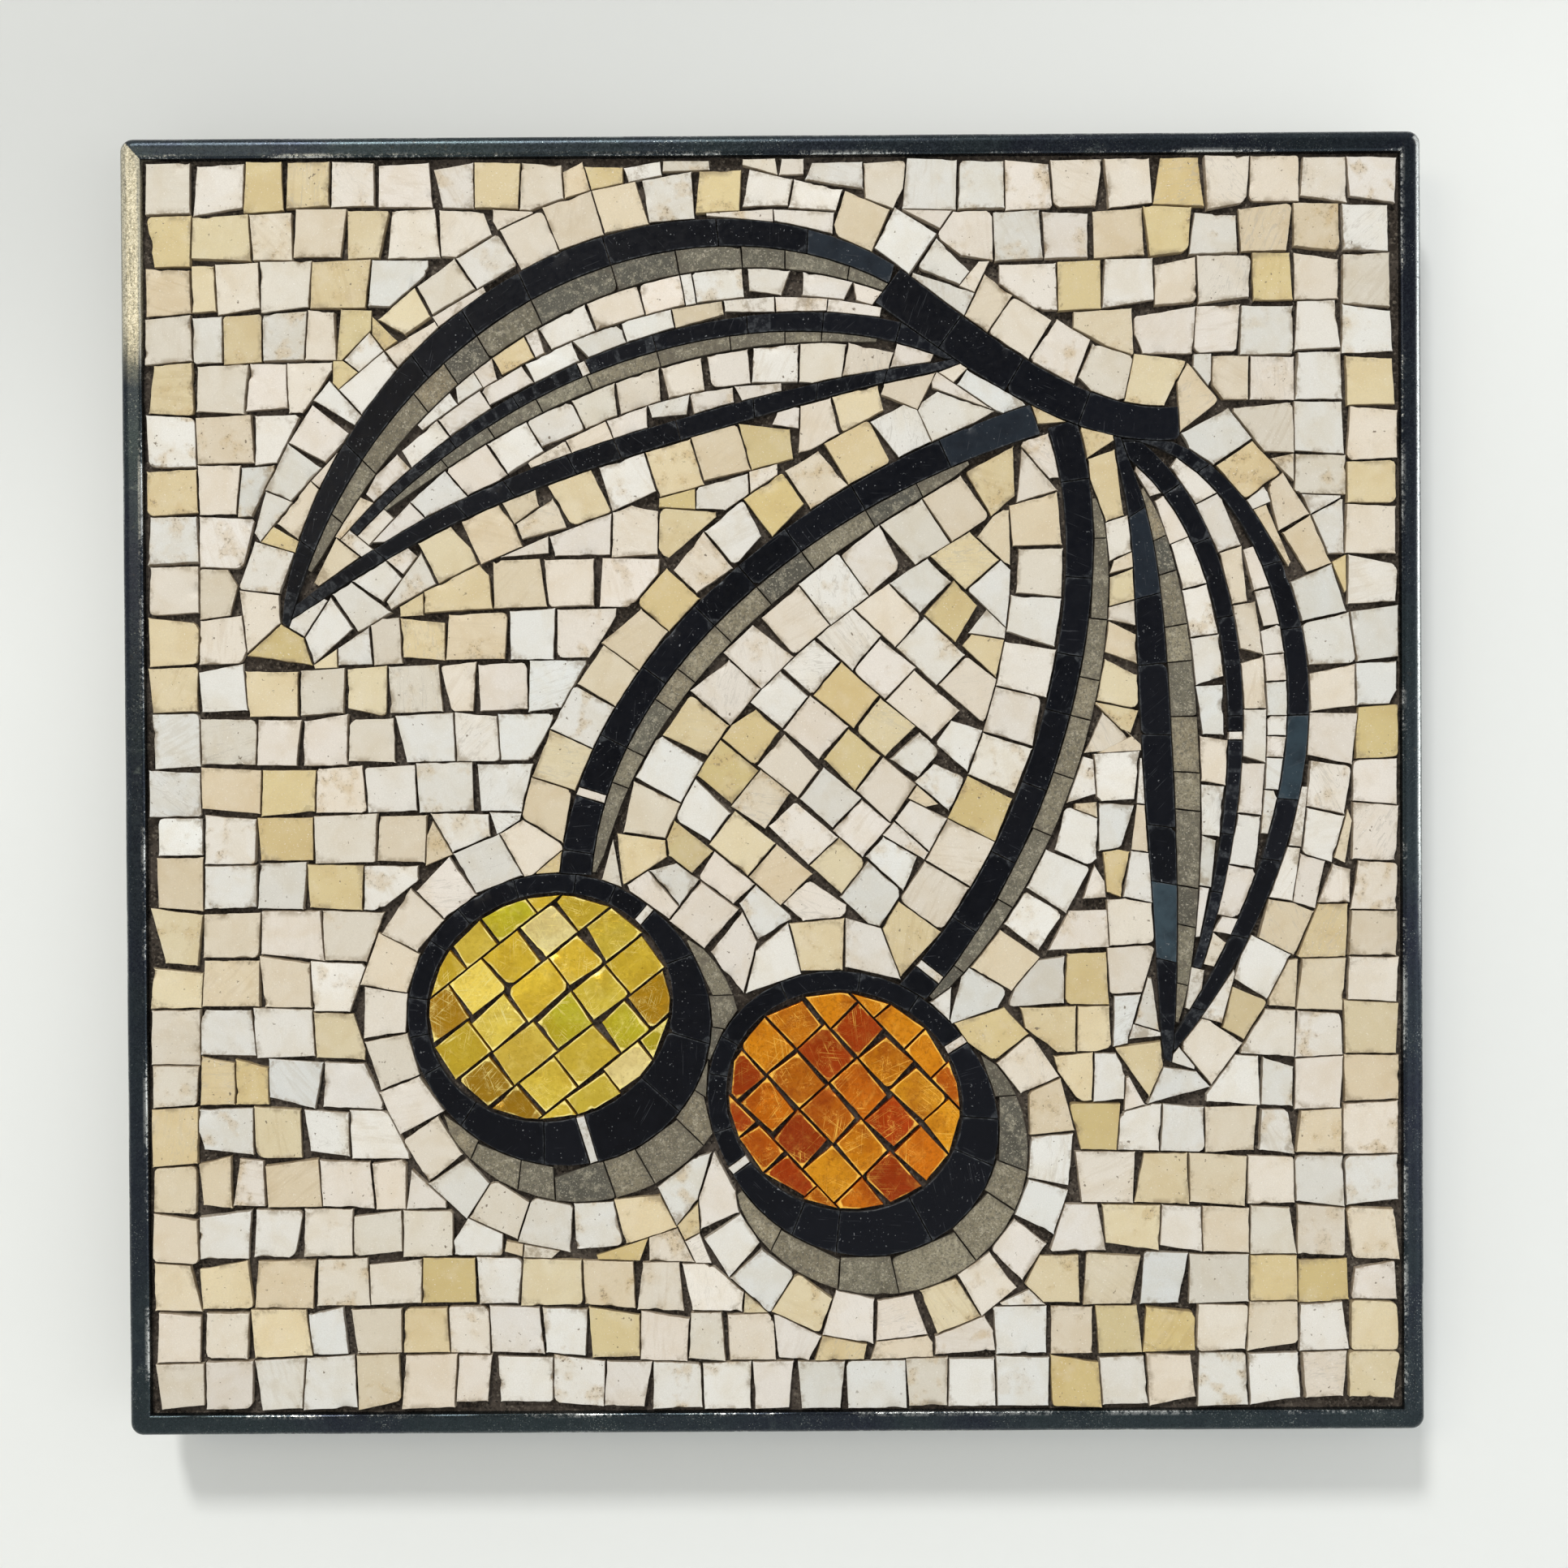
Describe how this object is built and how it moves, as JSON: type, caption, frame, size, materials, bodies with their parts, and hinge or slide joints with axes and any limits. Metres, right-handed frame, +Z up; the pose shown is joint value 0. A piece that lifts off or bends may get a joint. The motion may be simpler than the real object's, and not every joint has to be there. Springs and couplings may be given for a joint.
{
  "type": "mosaic panel",
  "caption": "Square framed stone mosaic panel to hang on a wall, with a leafy twig and two round fruits in gold-leaf glass, on a stand-off board.",
  "frame": {"origin": "centre of the hanging board's back face, where it meets the wall", "axes": "+Z up, +X to the right as seen from the front, +Y into the wall; the picture faces -Y"},
  "size_m": [0.3, 0.024, 0.3],
  "materials": {
    "steel_frame": "blackened mild steel, softly brushed and waxed, mottled, with rubbed bright edges",
    "marble_and_mortar": "honed hand-cut marble in white, cream and honey yellow, with black glass and grey stone strips, in dark grey-brown mortar",
    "gold_leaf_glass": "gold leaf under thin glass, creased, glossy metallic",
    "amber_leaf_glass": "copper-orange leaf under thin glass, creased, glossy metallic",
    "plywood": "birch plywood, bare, with a laminated edge"
  },
  "bodies": {
    "root": {"frame": "steel_frame", "mosaic_bed": "marble_and_mortar", "hanging_board": "plywood", "gold_leaf_tessera_01": "gold_leaf_glass", "gold_leaf_tessera_02": "gold_leaf_glass", "gold_leaf_tessera_03": "gold_leaf_glass", "gold_leaf_tessera_04": "gold_leaf_glass", "gold_leaf_tessera_05": "gold_leaf_glass", "gold_leaf_tessera_06": "gold_leaf_glass", "gold_leaf_tessera_07": "gold_leaf_glass", "gold_leaf_tessera_08": "gold_leaf_glass", "gold_leaf_tessera_09": "gold_leaf_glass", "gold_leaf_tessera_10": "gold_leaf_glass", "gold_leaf_tessera_11": "gold_leaf_glass", "gold_leaf_tessera_12": "gold_leaf_glass", "gold_leaf_tessera_13": "gold_leaf_glass", "gold_leaf_tessera_14": "gold_leaf_glass", "gold_leaf_tessera_15": "gold_leaf_glass", "gold_leaf_tessera_16": "gold_leaf_glass", "gold_leaf_tessera_17": "gold_leaf_glass", "gold_leaf_tessera_18": "gold_leaf_glass", "gold_leaf_tessera_19": "gold_leaf_glass", "gold_leaf_tessera_20": "gold_leaf_glass", "gold_leaf_tessera_21": "gold_leaf_glass", "gold_leaf_tessera_22": "gold_leaf_glass", "gold_leaf_tessera_23": "gold_leaf_glass", "gold_leaf_tessera_24": "gold_leaf_glass", "gold_leaf_tessera_25": "gold_leaf_glass", "gold_leaf_tessera_26": "gold_leaf_glass", "gold_leaf_tessera_27": "gold_leaf_glass", "gold_leaf_tessera_28": "gold_leaf_glass", "amber_leaf_tessera_01": "amber_leaf_glass", "amber_leaf_tessera_02": "amber_leaf_glass", "amber_leaf_tessera_03": "amber_leaf_glass", "amber_leaf_tessera_04": "amber_leaf_glass", "amber_leaf_tessera_05": "amber_leaf_glass", "amber_leaf_tessera_06": "amber_leaf_glass", "amber_leaf_tessera_07": "amber_leaf_glass", "amber_leaf_tessera_08": "amber_leaf_glass", "amber_leaf_tessera_09": "amber_leaf_glass", "amber_leaf_tessera_10": "amber_leaf_glass", "amber_leaf_tessera_11": "amber_leaf_glass", "amber_leaf_tessera_12": "amber_leaf_glass", "amber_leaf_tessera_13": "amber_leaf_glass", "amber_leaf_tessera_14": "amber_leaf_glass", "amber_leaf_tessera_15": "amber_leaf_glass", "amber_leaf_tessera_16": "amber_leaf_glass", "amber_leaf_tessera_17": "amber_leaf_glass", "amber_leaf_tessera_18": "amber_leaf_glass", "amber_leaf_tessera_19": "amber_leaf_glass", "amber_leaf_tessera_20": "amber_leaf_glass", "amber_leaf_tessera_21": "amber_leaf_glass", "amber_leaf_tessera_22": "amber_leaf_glass", "amber_leaf_tessera_23": "amber_leaf_glass", "amber_leaf_tessera_24": "amber_leaf_glass", "amber_leaf_tessera_25": "amber_leaf_glass", "amber_leaf_tessera_26": "amber_leaf_glass", "amber_leaf_tessera_27": "amber_leaf_glass", "amber_leaf_tessera_28": "amber_leaf_glass"}
  },
  "joints": []
}
